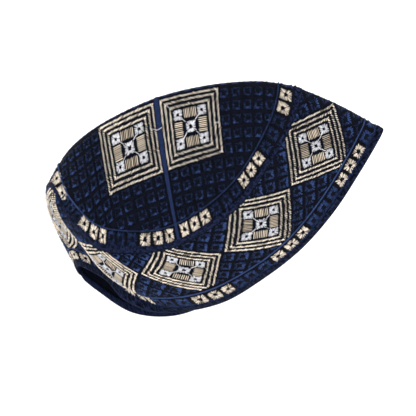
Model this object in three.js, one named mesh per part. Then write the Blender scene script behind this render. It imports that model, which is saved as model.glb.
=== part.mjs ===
// Embroidered kufi cap, lying folded on its side. Millimetres, +Z up, +X toward the pinched front.
// The crown is folded along a front to back ridge. The far half lies on the floor and the near half
// arches over it, so that the hollow stays open between them and shows under the rim at the back.
import * as THREE from 'three';

// Driving dimensions
const CROWN_LONG = 97;      // half of the crown's length, front to back
const CROWN_WIDE = 88;      // half of the crown's width, side to side
const BAND_HEIGHT = 70;     // crown seam to rim edge
const DIAMONDS = 10;        // diamonds round the band, five on each half
const WALL = 2.0;           // embroidered cloth and its backing
const GAP = 0.3;            // clearance between neighbouring pieces
const FOLD_SOFTNESS = 9;    // larger values round the crown's ridge more
const FOLD_PRESS = 0.7;     // how much thinner the cloth is pressed at the ridge
const CROWN_PUFF = 4.0;     // how far the near half of the crown swells out
const BAND_SWELL = 3.0;     // how far the near half of the band swells out
const FLANK_SWELL = 4.5;    // how far the near flank bulges over the open part of the rim
const FRONT_SWELL = 1.9;    // how far the front crease swells out
const BACK_SWELL = 7.0;     // how far the back end of the band swells out below the seam
const RIM_DENT = 7.5;       // how far the band is pressed in above the rim, behind the near flank
const BAND_LAG = 0.26;      // how far the band's diamonds trail the crown at the sides, in diamonds
const SEAM_TAPE = 4.4;      // width of the ear to ear tape across the crown
const TAPE_RISE = 0.5;
const WELT_ON_CROWN = 1.2;  // part of the welt that lies on the crown
const WELT_ON_BAND = 4.0;   // part of the welt that hangs over the band
const WELT_RISE = 0.8;
const BINDING_WIDE = 6.8;   // rim binding, measured up the band
const BINDING_RISE = 1.1;

const CLOTH = { name: 'embroidered_cloth', color: 0x141c3c, roughness: 0.85, metalness: 0 };
const TAPE = { name: 'navy_tape', color: 0x1a2550, roughness: 0.8, metalness: 0 };

// The ridge fold, one row per section. turn: degrees round the crown from the front.
const RIDGE = [
  { turn: 0, x: 60.5, y: 80, z: 34 },
  { turn: 22.5, x: 51.5, y: 82, z: 36 },
  { turn: 45, x: 30.5, y: 83.5, z: 42 },
  { turn: 67.5, x: -0.5, y: 80, z: 48 },
  { turn: 90, x: -33.5, y: 71.5, z: 52 },
  { turn: 112.5, x: -65.5, y: 57, z: 50 },
  { turn: 135, x: -87.5, y: 42.5, z: 42 },
  { turn: 157.5, x: -99.5, y: 29, z: 31 },
  { turn: 180, x: -107.5, y: 15, z: 25 },
];

// Sections of the band. step: diamonds back from the front crease. seam: where the band meets the crown.
// rim: its free edge. Each is [x, y, z]. The near side arches over the hollow.
const NEAR_BAND = [
  { step: 0, seam: [60.5, 80, 34], rim: [122, 54, 5] },
  { step: 0.1, seam: [59.5, 74, 37.5], rim: [119, 48.5, 9.5] },
  { step: 0.5, seam: [52, 51, 45], rim: [105, 25, 11] },
  { step: 1, seam: [34, 24, 56], rim: [86, -3.5, 12] },
  { step: 1.5, seam: [16, 2, 65], rim: [63, -29, 14] },
  { step: 2, seam: [-7, -14.5, 72], rim: [35, -50, 18] },
  { step: 2.5, seam: [-27.5, -23, 77], rim: [9.5, -64, 23] },
  { step: 3, seam: [-51.5, -24, 79], rim: [-21, -70, 28] },
  { step: 3.5, seam: [-68, -21.5, 76], rim: [-42, -68.5, 31] },
  { step: 3.75, seam: [-77, -15, 71], rim: [-58, -60.5, 29] },
  { step: 4, seam: [-87.5, -5, 63], rim: [-68, -49.5, 25] },
  { step: 4.5, seam: [-99, 13.5, 50], rim: [-86.5, -40, 16.5] },
  { step: 4.75, seam: [-104, 17, 38], rim: [-90, -41.5, 7] },
  { step: 5, seam: [-107.5, 15, 25], rim: [-88, -48, 1.5] },
];

// The far side lies on the floor and shares its end sections with the near side.
const FAR_BAND = [
  { step: 0.1, seam: [59.5, 76, 29], rim: [119, 48.5, 0.5] },
  { step: 0.5, seam: [52, 61, 11], rim: [104, 31, 0] },
  { step: 1, seam: [38, 40, 0], rim: [88, 8, 0] },
  { step: 1.5, seam: [19.5, 23, 0], rim: [69, -14, 0] },
  { step: 2, seam: [-4, 5, 0], rim: [49, -34, 0] },
  { step: 2.5, seam: [-28, -7, 0], rim: [27, -52, 0] },
  { step: 3, seam: [-52, -13, 0], rim: [2, -66.5, 0] },
  { step: 3.5, seam: [-71, -10, 0], rim: [-25, -75.5, 0] },
  { step: 4, seam: [-84.5, 1, 0], rim: [-53, -73, 0] },
  { step: 4.5, seam: [-98, 11, 4], rim: [-77, -58, 0] },
];

const vec = (p) => new THREE.Vector3(p[0], p[1], p[2]);
const HALF_TURN = DIAMONDS / 2;

/** Smooth curve through knots, with slopes taken from the neighbouring knots. */
function smoothCurve(knots, points, loop) {
  const count = knots.length;
  const at = (i) => {
    if (!loop) {
      const k = Math.min(Math.max(i, 0), count - 1);
      return { t: knots[k], p: points[k] };
    }
    const turns = Math.floor(i / count);
    const k = i - turns * count;
    return { t: knots[k] + turns * loop, p: points[k] };
  };
  const slope = (i) => {
    const before = at(i - 1);
    const after = at(i + 1);
    const span = after.t - before.t;
    return after.p.clone().sub(before.p).multiplyScalar(1 / span);
  };
  return (value) => {
    const t = loop ? value - Math.floor(value / loop) * loop : value;
    let i = 0;
    while (i < count - 1 && at(i + 1).t <= t) {
      i += 1;
    }
    if (!loop) {
      i = Math.min(i, count - 2);
    }
    const a = at(i);
    const b = at(i + 1);
    const span = b.t - a.t;
    const f = (t - a.t) / span;
    const g = f * f * (3 - 2 * f);
    const result = a.p.clone().multiplyScalar(1 - g).addScaledVector(b.p, g);
    result.addScaledVector(slope(i), span * f * (1 - f) * (1 - f));
    result.addScaledVector(slope(i + 1), -span * f * f * (1 - f));
    return result;
  };
}

/** Loop through the near side, front to back, and home along the far side. */
function bandLoop(part) {
  const nearRows = NEAR_BAND.map((row) => ({ t: row.step, p: vec(row[part]) }));
  const farRows = FAR_BAND.map((row) => ({ t: DIAMONDS - row.step, p: vec(row[part]) }));
  const rows = nearRows.concat(farRows.reverse());
  return smoothCurve(rows.map((r) => r.t), rows.map((r) => r.p), DIAMONDS);
}

const seamLoop = bandLoop('seam');
const rimLoop = bandLoop('rim');
const ridgeLine = smoothCurve(RIDGE.map((r) => r.turn), RIDGE.map((r) => vec([r.x, r.y, r.z])), 0);

/** How much a point at this place round the loop belongs to the arched near half, from 0 to 1. */
function nearness(place) {
  return place < HALF_TURN ? Math.sin((Math.PI * place) / HALF_TURN) : 0;
}

/** Bump of height 1 round a place on the loop, zero from the given reach on. */
function bump(place, centre, reach) {
  const turns = Math.abs(place - centre) % DIAMONDS;
  const away = Math.min(turns, DIAMONDS - turns) / reach;
  return away < 1 ? (1 - away * away) ** 2 : 0;
}

/** Point of the band's outer face: place round the loop in diamonds, drop below the seam. */
function bandPoint(place, drop) {
  const share = Math.min(Math.max(drop / BAND_HEIGHT, 0), 1);
  const top = seamLoop(place);
  const p = top.clone().lerp(rimLoop(place), drop / BAND_HEIGHT);
  const ahead = seamLoop(place + 0.05).sub(seamLoop(place - 0.05));
  const down = rimLoop(place).sub(top);
  const out = ahead.cross(down).normalize();
  const even = BAND_SWELL * nearness(place) + FRONT_SWELL * bump(place, 0, 0.5);
  const high = BACK_SWELL * bump(place, 4.6, 0.8) + FLANK_SWELL * bump(place, 3.4, 1.2);
  const low = RIM_DENT * bump(place, 3.8, 1.1);
  const swell = even * Math.sin(Math.PI * share) + high * Math.sin(Math.PI * share ** 0.6);
  return p.addScaledVector(out, swell - low * Math.sin(Math.PI * share ** 2.1));
}

/** Point of the crown's outer face from its flat pattern: along toward the front, side off the ridge. */
function crownPoint(along, side) {
  const turn = Math.acos(Math.min(Math.max(along / CROWN_LONG, -1), 1));
  const reach = Math.max(CROWN_WIDE * Math.sin(turn), 1e-6);
  const place = (turn / Math.PI) * HALF_TURN - BAND_LAG * Math.sin(turn);
  const near = seamLoop(place);
  const far = seamLoop(DIAMONDS - place);
  const ridge = ridgeLine((turn * 180) / Math.PI);
  const across = near.clone().sub(far).multiplyScalar(0.5);
  const inward = near.clone().add(far).multiplyScalar(0.5).sub(ridge);
  const softness = Math.min(FOLD_SOFTNESS, 0.35 * reach);
  const bend = (d) => Math.sqrt(d * d + softness * softness) - softness;
  const p = ridge.clone().addScaledVector(across, side / reach);
  p.addScaledVector(inward, bend(side) / bend(reach));
  const share = Math.min(Math.max(side / reach, 0), 1);
  const puff = CROWN_PUFF * Math.sin(Math.PI * share) * Math.sin(turn);
  p.addScaledVector(across.cross(inward).cross(near.clone().sub(ridge)).normalize(), -puff);
  return p;
}

/** Unit normal of a surface, pointing out of the cap. */
function outward(surface, a, b, da, db, sign) {
  const u = surface(a + da, b).sub(surface(a - da, b));
  const v = surface(a, b + db).sub(surface(a, b - db));
  return u.cross(v).normalize().multiplyScalar(sign);
}

function bandNormal(place, drop) {
  return outward(bandPoint, place, drop, 0.02, 0.5, 1);
}

function crownNormal(along, side) {
  const edge = Math.hypot(along / CROWN_LONG, side / CROWN_WIDE);
  const shrink = edge > 0.97 ? 0.97 / edge : 1;
  return outward(crownPoint, along * shrink, side * shrink, 0.4, 0.4, -1);
}

/** Thickness of the crown's cloth, pressed thin along the ridge. */
const crownWall = (side) => WALL - FOLD_PRESS * Math.exp(-((side / FOLD_SOFTNESS) ** 2));

/** Flat crown pattern of a place on the seam loop, moved in from the edge. */
function crownEdge(place, inset) {
  const folded = place <= HALF_TURN ? place : DIAMONDS - place;
  let turn = (folded / HALF_TURN) * Math.PI;
  for (let k = 0; k < 20; k += 1) {
    turn = ((folded + BAND_LAG * Math.sin(turn)) / HALF_TURN) * Math.PI;
  }
  const side = place <= HALF_TURN ? 1 : -1;
  return {
    along: (CROWN_LONG - inset) * Math.cos(turn),
    side: side * (CROWN_WIDE - inset) * Math.sin(turn),
  };
}

/** Point near the seam: reach is negative on the crown and positive down the band, rise is outward. */
function edgePoint(place, reach, rise) {
  const blend = Math.min(Math.max((reach + 1.6) / 3.2, 0), 1);
  const inside = crownEdge(place, Math.max(-reach, 0.6));
  const normal = crownNormal(inside.along, inside.side).multiplyScalar(1 - blend);
  normal.addScaledVector(bandNormal(place, Math.max(reach, 0.6)), blend).normalize();
  const flat = crownEdge(place, -reach);
  const base = reach < 0 ? crownPoint(flat.along, flat.side) : bandPoint(place, reach);
  return base.addScaledVector(normal, rise);
}

const onFloor = (p) => new THREE.Vector3(p.x, p.y, Math.max(p.z, 0));

/** Named mesh from a closed list of triangles, turned to face out, with slivers dropped. */
function solid(name, triangles, finish) {
  const positions = [];
  let volume = 0;
  const kept = triangles.filter(([a, b, c]) => {
    const size = b.clone().sub(a).cross(c.clone().sub(a)).length();
    const shortest = Math.min(a.distanceTo(b), b.distanceTo(c), c.distanceTo(a));
    return size > 1e-7 && shortest > 1e-4;
  });
  kept.forEach(([a, b, c]) => {
    volume += a.dot(b.clone().cross(c)) / 6;
  });
  kept.forEach(([a, b, c]) => {
    const order = volume > 0 ? [a, b, c] : [a, c, b];
    order.forEach((p) => positions.push(p.x, p.y, p.z));
  });
  const geometry = new THREE.BufferGeometry();
  geometry.setAttribute('position', new THREE.Float32BufferAttribute(positions, 3));
  geometry.computeVertexNormals();
  const mesh = new THREE.Mesh(geometry, new THREE.MeshStandardMaterial(finish));
  mesh.name = name;
  return mesh;
}

function quad(list, a, b, c, d) {
  list.push([a, b, c]);
  list.push([a, c, d]);
}

/** Solid skin between an outer and an inner grid of points. */
function skin(outer, inner, wrap) {
  const list = [];
  const rows = outer.length;
  const cols = outer[0].length;
  const last = wrap ? rows : rows - 1;
  for (let i = 0; i < last; i += 1) {
    const n = (i + 1) % rows;
    for (let j = 0; j + 1 < cols; j += 1) {
      quad(list, outer[i][j], outer[n][j], outer[n][j + 1], outer[i][j + 1]);
      quad(list, inner[i][j], inner[i][j + 1], inner[n][j + 1], inner[n][j]);
    }
    quad(list, outer[n][0], outer[i][0], inner[i][0], inner[n][0]);
    quad(list, outer[i][cols - 1], outer[n][cols - 1], inner[n][cols - 1], inner[i][cols - 1]);
  }
  if (!wrap) {
    [0, rows - 1].forEach((i) => {
      for (let j = 0; j + 1 < cols; j += 1) {
        const a = [outer[i][j], outer[i][j + 1], inner[i][j + 1], inner[i][j]];
        const order = i === 0 ? a : a.reverse();
        quad(list, order[0], order[1], order[2], order[3]);
      }
    });
  }
  return list;
}

/** Closed ring swept from one closed section per place. */
function ring(sections) {
  const list = [];
  sections.forEach((row, i) => {
    const next = sections[(i + 1) % sections.length];
    row.forEach((p, j) => {
      const k = (j + 1) % row.length;
      quad(list, next[j], next[k], row[k], p);
    });
  });
  return list;
}

/** Places round the loop, closer together at the front crease and at the back. */
function loopPlaces() {
  const half = [];
  let place = 0;
  while (place < HALF_TURN - 0.02) {
    half.push(place);
    const toEnd = Math.min(place, HALF_TURN - place);
    place += Math.min(0.04 + 0.16 * toEnd, 0.16);
  }
  half.push(HALF_TURN);
  const back = half.slice(1, -1).reverse().map((p) => DIAMONDS - p);
  return half.concat(back);
}

const PLACES = loopPlaces();

/** Half of the crown, in front of the tape or behind it. */
function crownPanel(name, facing, finish) {
  const inset = WELT_ON_CROWN + 1.5 * GAP;
  const long = CROWN_LONG - inset;
  const wide = CROWN_WIDE - inset;
  const stop = Math.acos((SEAM_TAPE / 2 + GAP) / long);
  const stations = 15;
  const columns = 12;
  const outer = [];
  const inner = [];
  for (let i = 0; i <= stations; i += 1) {
    const turn = stop * (i / stations) ** 1.6;
    const along = facing * long * Math.cos(turn);
    const rowOut = [];
    const rowIn = [];
    for (let j = -columns; j <= columns; j += 1) {
      const share = Math.sign(j) * Math.abs(j / columns) ** 1.6;
      const side = share * wide * Math.sin(turn);
      const p = crownPoint(along, side);
      rowOut.push(onFloor(p));
      rowIn.push(onFloor(p.clone().addScaledVector(crownNormal(along, side), -crownWall(side))));
    }
    outer.push(rowOut);
    inner.push(rowIn);
  }
  return solid(name, skin(outer, inner, false), finish);
}

/** Raised tape across the crown. */
function seamTape(name, finish) {
  const half = SEAM_TAPE / 2;
  const reach = CROWN_WIDE - WELT_ON_CROWN - GAP;
  const columns = 16;
  const section = [[-half, 0], [-half * 0.6, TAPE_RISE], [half * 0.6, TAPE_RISE], [half, 0]];
  const outer = [];
  const inner = [];
  for (let j = -columns; j <= columns; j += 1) {
    const side = Math.sign(j) * Math.abs(j / columns) ** 1.6 * reach;
    const rowOut = [];
    const rowIn = [];
    section.forEach(([along, rise]) => {
      const normal = crownNormal(along, side);
      const p = crownPoint(along, side);
      rowOut.push(onFloor(p.clone().addScaledVector(normal, rise)));
      rowIn.push(onFloor(p.clone().addScaledVector(normal, -crownWall(side))));
    });
    outer.push(rowOut);
    inner.push(rowIn);
  }
  return solid(name, skin(outer, inner, false), finish);
}

/** Side wall between the welt and the rim binding. */
function bandShell(name, finish) {
  const top = WELT_ON_BAND + GAP;
  const bottom = BAND_HEIGHT - BINDING_WIDE - GAP;
  const rows = 6;
  const outer = [];
  const inner = [];
  PLACES.forEach((place) => {
    const rowOut = [];
    const rowIn = [];
    for (let j = 0; j <= rows; j += 1) {
      const drop = top + ((bottom - top) * j) / rows;
      const p = bandPoint(place, drop);
      rowOut.push(onFloor(p));
      rowIn.push(p.clone().addScaledVector(bandNormal(place, drop), -WALL));
    }
    outer.push(rowOut);
    inner.push(rowIn);
  });
  return solid(name, skin(outer, inner, true), finish);
}

/** Strip over the seam, part on the crown and part on the band. */
function crownWelt(name, finish) {
  const section = [
    { reach: -WELT_ON_CROWN, rise: 0.1 },
    { reach: -WELT_ON_CROWN * 0.5, rise: WELT_RISE },
    { reach: 0.6, rise: WELT_RISE },
    { reach: WELT_ON_BAND * 0.7, rise: WELT_RISE },
    { reach: WELT_ON_BAND, rise: 0 },
    { reach: WELT_ON_BAND, rise: -WALL },
    { reach: 0.6, rise: -WALL },
    { reach: -WELT_ON_CROWN, rise: -WALL },
  ];
  const sectionAt = (place) => section.map((s) => onFloor(edgePoint(place, s.reach, s.rise)));
  const sections = PLACES.map(sectionAt);
  return solid(name, ring(sections), finish);
}

/** Tape folded over the free edge of the band. */
function rimBinding(name, finish) {
  const w = BINDING_WIDE;
  const section = [
    { up: w, rise: 0 },
    { up: w - 0.9, rise: BINDING_RISE },
    { up: 0.9, rise: BINDING_RISE },
    { up: 0, rise: -0.3 },
    { up: 0, rise: -WALL - 0.2 },
    { up: 0.9, rise: -WALL - BINDING_RISE },
    { up: w - 0.9, rise: -WALL - BINDING_RISE },
    { up: w, rise: -WALL },
  ];
  const sections = PLACES.map((place) => section.map((s) => {
    const drop = BAND_HEIGHT - s.up;
    const p = bandPoint(place, drop);
    return onFloor(p.addScaledVector(bandNormal(place, Math.min(drop, BAND_HEIGHT - 0.6)), s.rise));
  }));
  return solid(name, ring(sections), finish);
}

const cap = new THREE.Group();
cap.name = 'kufi_cap';
cap.add(crownPanel('crown_front', 1, CLOTH));
cap.add(crownPanel('crown_back', -1, CLOTH));
cap.add(seamTape('crown_seam_tape', TAPE));
cap.add(crownWelt('crown_welt', TAPE));
cap.add(bandShell('band', CLOTH));
cap.add(rimBinding('rim_binding', TAPE));

// The finished cap stands over the middle of its own footprint
const box = new THREE.Box3().setFromObject(cap);
const middle = box.getCenter(new THREE.Vector3());
cap.children.forEach((mesh) => mesh.geometry.translate(-middle.x, -middle.y, -box.min.z));

export default cap;
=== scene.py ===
"""Dresses the kufi cap: folded cloth, tapes and embroidery, with its floor, light and camera."""
import logging
import math
from dataclasses import dataclass, field
from enum import Enum
from typing import Callable, Dict, List, Sequence, Tuple, Union

import bpy
import numpy as np
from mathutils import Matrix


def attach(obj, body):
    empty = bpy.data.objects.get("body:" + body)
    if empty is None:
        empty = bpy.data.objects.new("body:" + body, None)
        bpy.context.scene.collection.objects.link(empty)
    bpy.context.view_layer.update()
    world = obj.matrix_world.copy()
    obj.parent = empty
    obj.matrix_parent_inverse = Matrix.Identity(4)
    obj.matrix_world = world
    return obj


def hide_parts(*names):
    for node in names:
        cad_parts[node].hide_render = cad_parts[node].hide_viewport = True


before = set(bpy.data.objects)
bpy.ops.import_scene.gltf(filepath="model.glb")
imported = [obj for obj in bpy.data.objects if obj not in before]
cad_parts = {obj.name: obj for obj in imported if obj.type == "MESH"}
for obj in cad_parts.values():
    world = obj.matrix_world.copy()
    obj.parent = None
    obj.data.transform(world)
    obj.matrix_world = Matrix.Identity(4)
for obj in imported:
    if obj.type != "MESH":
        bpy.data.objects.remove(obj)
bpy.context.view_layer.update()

LOG = logging.getLogger("kufi_cap")
MM = 0.001
DIAMONDS = 10.0
Rows = np.ndarray
Shade = Union[float, Rows]
Ends = Tuple[Rows, Rows]
Carry = Callable[[Rows], Rows]
Surface = Callable[[Rows, Rows], Rows]
Socket = bpy.types.NodeSocket


class Side(Enum):
    """Half of the crown, before or behind the tape."""

    FRONT = 1
    BACK = -1


class Thread(Enum):
    """Colour of an embroidery thread."""

    GOLD = "gold"
    TAN = "tan"
    WHITE = "white"
    BLUE = "blue"
    CORD = "cord_blue"
    BLACK = "black"


def unit(v: Rows) -> Rows:
    """Return the vectors scaled to length one."""
    return v / np.maximum(np.linalg.norm(v, axis=-1, keepdims=True), 1e-12)


def bump(place: Rows, centre: float, reach: float, loop: float) -> Rows:
    """Return a smooth bump of height one round a place on a loop.

    Args:
        place: places on the loop.
        centre: place of the top of the bump.
        reach: distance at which the bump has died away.
        loop: length of the loop.

    Returns:
        Height of the bump at each place.
    """
    turns = np.abs(place - centre) % loop
    away = np.minimum(turns, loop - turns) / reach
    return np.where(away < 1, (1 - away * away) ** 2, 0.0)


@dataclass(frozen=True)
class Bulge:
    """Smooth change of the cloth round one place on the band, in diamonds from the front crease."""

    size: float
    place: float
    reach: float
    loop: float = DIAMONDS

    def at(self, place: Rows) -> Rows:
        """Return the size of the change at each place."""
        return self.size * bump(place, self.place, self.reach, self.loop)


@dataclass
class FoldCurve:
    """Smooth curve through the rows of a fold, open or closed."""

    knots: Sequence[float]
    points: Sequence[Tuple[float, float, float]]
    loop: float = 0.0

    def __post_init__(self) -> None:
        """Work out the slopes at the knots."""
        t, p = np.array(self.knots, float), np.array(self.points, float)
        if self.loop:
            t = np.concatenate([t[-2:] - self.loop, t, t[:3] + self.loop])
            p = np.concatenate([p[-2:], p, p[:3]])
        slope = np.empty_like(p)
        slope[1:-1] = (p[2:] - p[:-2]) / (t[2:] - t[:-2])[:, None]
        slope[0] = (p[1] - p[0]) / (t[1] - t[0])
        slope[-1] = (p[-1] - p[-2]) / (t[-1] - t[-2])
        self.t, self.p, self.slope = t, p, slope

    def __call__(self, value: Rows) -> Rows:
        """Follow the curve.

        Args:
            value: places along it, in the measure of the knots.

        Returns:
            Points of the curve.
        """
        v = np.asarray(value, float)
        v = v % self.loop if self.loop else v
        i = np.clip(np.searchsorted(self.t, v, side="right") - 1, 0, len(self.t) - 2)
        span = (self.t[i + 1] - self.t[i])[..., None]
        f = (v - self.t[i])[..., None] / span
        g = f * f * (3 - 2 * f)
        bend = self.slope[i] * (1 - f) - self.slope[i + 1] * f
        return self.p[i] * (1 - g) + self.p[i + 1] * g + bend * span * f * (1 - f)


@dataclass
class CapForm:
    """The folded outer face of the cap, worked out from its flat pattern, in millimetres."""

    crown_long: float = 97.0
    crown_wide: float = 88.0
    band_height: float = 70.0
    diamonds: float = DIAMONDS
    pitch: float = 58.0
    fold_softness: float = 9.0
    soft_share: float = 0.35
    crown_puff: float = 4.0
    band_swell: float = 3.0
    front_swell: Bulge = Bulge(1.9, 0.0, 0.5)
    flank_swell: Bulge = Bulge(4.5, 3.4, 1.2)
    back_swell: Bulge = Bulge(7.0, 4.6, 0.8)
    swell_power: float = 0.6
    rim_dent: Bulge = Bulge(7.5, 3.8, 1.1)
    dent_power: float = 2.1
    tuck: Bulge = Bulge(1.7, 3.3, 0.7)
    # pattern of the band: how far it is drawn round the rim, up the near flank and aside at the crown
    rim_slide: float = 0.11
    slide_place: float = 4.6
    slide_reach: Tuple[float, float] = (0.3, 1.2)
    slide_start: float = 0.6
    slide_span: float = 0.25
    flank_rise: Bulge = Bulge(0.17, 3.45, 1.15)
    flank_start: float = 0.06
    low_rise: Bulge = Bulge(0.045, 2.6, 0.9)
    low_stop: float = 0.9
    lean: Bulge = Bulge(0.075, 2.5, 0.6)
    lean_back: float = -0.3
    welt_low: float = 4.2
    welt_draw: Tuple[Bulge, Bulge] = (Bulge(0.62, 0.5, 0.9), Bulge(0.62, 4.45, 0.75))
    band_lag: float = 0.26
    lag_rounds: int = 20
    crown_skew: float = 0.0255
    skew_turn: float = 0.6
    ease_range: Tuple[float, float] = (1.0, 179.0)
    ease_turns: int = 90
    ease_shares: int = 241
    ease_points: int = 401
    lift: float = 0.55
    floor_blend: float = 0.04
    # short ways along the cloth that give its normals, and how near the crown's edge they are taken
    place_probe: float = 0.05
    band_probe: Tuple[float, float] = (1.0, 0.5)
    crown_probe: float = 0.4
    crown_inside: float = 0.97
    middle: Tuple[float, float] = (6.226, 3.870)
    # turn in degrees from the front, then x, y, z of the ridge
    ridge_rows: Tuple[Tuple[float, ...], ...] = (
        (0, 60.5, 80, 34), (22.5, 51.5, 82, 36), (45, 30.5, 83.5, 42),
        (67.5, -0.5, 80, 48), (90, -33.5, 71.5, 52), (112.5, -65.5, 57, 50),
        (135, -87.5, 42.5, 42), (157.5, -99.5, 29, 31), (180, -107.5, 15, 25),
    )
    # step in diamonds from the front crease, then x, y, z of the seam and of the rim
    near_rows: Tuple[Tuple[float, ...], ...] = (
        (0, 60.5, 80, 34, 122, 54, 5), (0.1, 59.5, 74, 37.5, 119, 48.5, 9.5),
        (0.5, 52, 51, 45, 105, 25, 11), (1, 34, 24, 56, 86, -3.5, 12),
        (1.5, 16, 2, 65, 63, -29, 14), (2, -7, -14.5, 72, 35, -50, 18),
        (2.5, -27.5, -23, 77, 9.5, -64, 23), (3, -51.5, -24, 79, -21, -70, 28),
        (3.5, -68, -21.5, 76, -42, -68.5, 31), (3.75, -77, -15, 71, -58, -60.5, 29),
        (4, -87.5, -5, 63, -68, -49.5, 25), (4.5, -99, 13.5, 50, -86.5, -40, 16.5),
        (4.75, -104, 17, 38, -90, -41.5, 7), (5, -107.5, 15, 25, -88, -48, 1.5),
    )
    far_rows: Tuple[Tuple[float, ...], ...] = (
        (0.1, 59.5, 76, 29, 119, 48.5, 0.5), (0.5, 52, 61, 11, 104, 31, 0),
        (1, 38, 40, 0, 88, 8, 0), (1.5, 19.5, 23, 0, 69, -14, 0),
        (2, -4, 5, 0, 49, -34, 0), (2.5, -28, -7, 0, 27, -52, 0),
        (3, -52, -13, 0, 2, -66.5, 0), (3.5, -71, -10, 0, -25, -75.5, 0),
        (4, -84.5, 1, 0, -53, -73, 0), (4.5, -98, 11, 4, -77, -58, 0),
    )

    def __post_init__(self) -> None:
        """Lay the smooth curves through the rows."""
        rows = [(r[0], r[1:4], r[4:7]) for r in self.near_rows]
        rows += [(self.diamonds - r[0], r[1:4], r[4:7]) for r in reversed(self.far_rows)]
        steps = [r[0] for r in rows]
        self.seam = FoldCurve(steps, [r[1] for r in rows], self.diamonds)
        self.rim = FoldCurve(steps, [r[2] for r in rows], self.diamonds)
        self.ridge = FoldCurve([r[0] for r in self.ridge_rows], [r[1:4] for r in self.ridge_rows])
        self.ease_table()

    @property
    def half(self) -> float:
        """Diamonds from the front crease to the back fold."""
        return self.diamonds / 2

    def settle(self, p: Rows) -> Rows:
        """Centre points on the footprint and keep the cloth just clear of the floor.

        Args:
            p: points as they stand in the rows.

        Returns:
            Points in the frame of the part.
        """
        q = p - np.array([self.middle[0], self.middle[1], 0.0])
        z = q[..., 2] - self.lift
        q[..., 2] = self.lift + 0.5 * (z + np.sqrt(z * z + self.floor_blend))
        return q

    def band(self, arc: Rows, drop: Rows) -> Rows:
        """Return points of the band's outer face.

        Args:
            arc: millimetres round the band from the front crease.
            drop: millimetres below the crown seam.

        Returns:
            Points of the face.
        """
        arc, drop = np.broadcast_arrays(np.asarray(arc, float), np.asarray(drop, float))
        place = (arc / self.pitch) % self.diamonds
        share = np.clip(drop / self.band_height, 0, 1)
        risen = share - self.rise(place, share)
        drop, share = drop + (risen - share) * self.band_height, risen
        place = place + self.slide(place) * np.clip((share - self.slide_start) / self.slide_span, 0, 1)
        place = place + self.lean.at(place) * np.clip(1 - 2 * share, self.lean_back, 1)
        top, foot = self.seam(place), self.rim(place)
        p = top + (foot - top) * (drop / self.band_height)[..., None]
        ahead = self.seam(place + self.place_probe) - self.seam(place - self.place_probe)
        out = unit(np.cross(ahead, foot - top))
        near = np.where(place < self.half, np.sin(np.pi * place / self.half), 0.0)
        even = self.band_swell * near + self.front_swell.at(place)
        high = self.back_swell.at(place) + self.flank_swell.at(place)
        swell = even * np.sin(np.pi * share) + high * np.sin(np.pi * share**self.swell_power)
        low = self.dent_power + self.tuck.at(place)
        swell = swell - self.rim_dent.at(place) * np.sin(np.pi * share**low)
        return self.settle(p + out * swell[..., None])

    def slide(self, place: Rows) -> Rows:
        """Return how far, in diamonds, the lower edge of the band is drawn round the back fold."""
        early, late = (bump(place, self.slide_place, reach, self.diamonds) for reach in self.slide_reach)
        return self.rim_slide * np.where(place < self.slide_place, early, late)

    def rise(self, place: Rows, share: Rows) -> Rows:
        """Return how far the cloth of the near flank is drawn up between its edges.

        Args:
            place: places round the band, in diamonds.
            share: share of the way down the band.

        Returns:
            Rise as a share of the band's height.
        """
        below = np.clip((share - self.flank_start) / (1 - self.flank_start), 0, 1)
        flank = self.flank_rise.at(place) * np.sin(np.pi * below) * (1 - below)
        low = self.low_rise.at(place) * np.sin(np.pi * np.minimum(share / self.low_stop, 1) ** 2)
        return flank + low

    def ease_table(self) -> None:
        """Work out, for each turn, where even lengths of cloth from the ridge come to lie."""
        turn = np.radians(np.linspace(*self.ease_range, self.ease_turns))
        share = np.linspace(-1, 1, self.ease_points)
        p = self.crown_fold(turn[:, None], share[None, :])
        length = np.linalg.norm(np.diff(p, axis=1), axis=-1)
        length = np.concatenate([np.zeros((len(turn), 1)), np.cumsum(length, 1)], 1)
        length = length - length[:, [self.ease_points // 2]]
        even = np.where(length < 0, length / -length[:, :1], length / length[:, -1:])
        wanted = np.linspace(-1, 1, self.ease_shares)
        self.eased = np.stack([np.interp(wanted, row, share) for row in even])

    def crown(self, along: Rows, side: Rows) -> Rows:
        """Return points of the crown's outer face for points of its flat pattern.

        Args:
            along: millimetres from the tape toward the front.
            side: millimetres from the ridge, positive on the near half.

        Returns:
            Points of the face.
        """
        along, side = np.broadcast_arrays(np.asarray(along, float), np.asarray(side, float))
        turn = np.arccos(np.clip(along / self.crown_long, -1, 1))
        reach = np.maximum(self.crown_wide * np.sin(turn), 1e-6)
        share = np.clip(side / reach, -1, 1)
        skew = np.sin(turn) * np.sin(self.skew_turn * np.pi * np.maximum(share, 0))
        turn = turn + self.crown_skew * skew
        first, last = self.ease_range
        row = np.clip((np.degrees(turn) - first) / (last - first), 0, 1) * (self.ease_turns - 1)
        column = (share + 1) / 2 * (self.ease_shares - 1)
        i = np.minimum(row.astype(int), self.ease_turns - 2)
        j = np.minimum(column.astype(int), self.ease_shares - 2)
        f, g = row - i, column - j
        table = self.eased
        near = table[i, j] * (1 - g) + table[i, j + 1] * g
        next_row = table[i + 1, j] * (1 - g) + table[i + 1, j + 1] * g
        return self.crown_fold(turn, near * (1 - f) + next_row * f)

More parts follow.
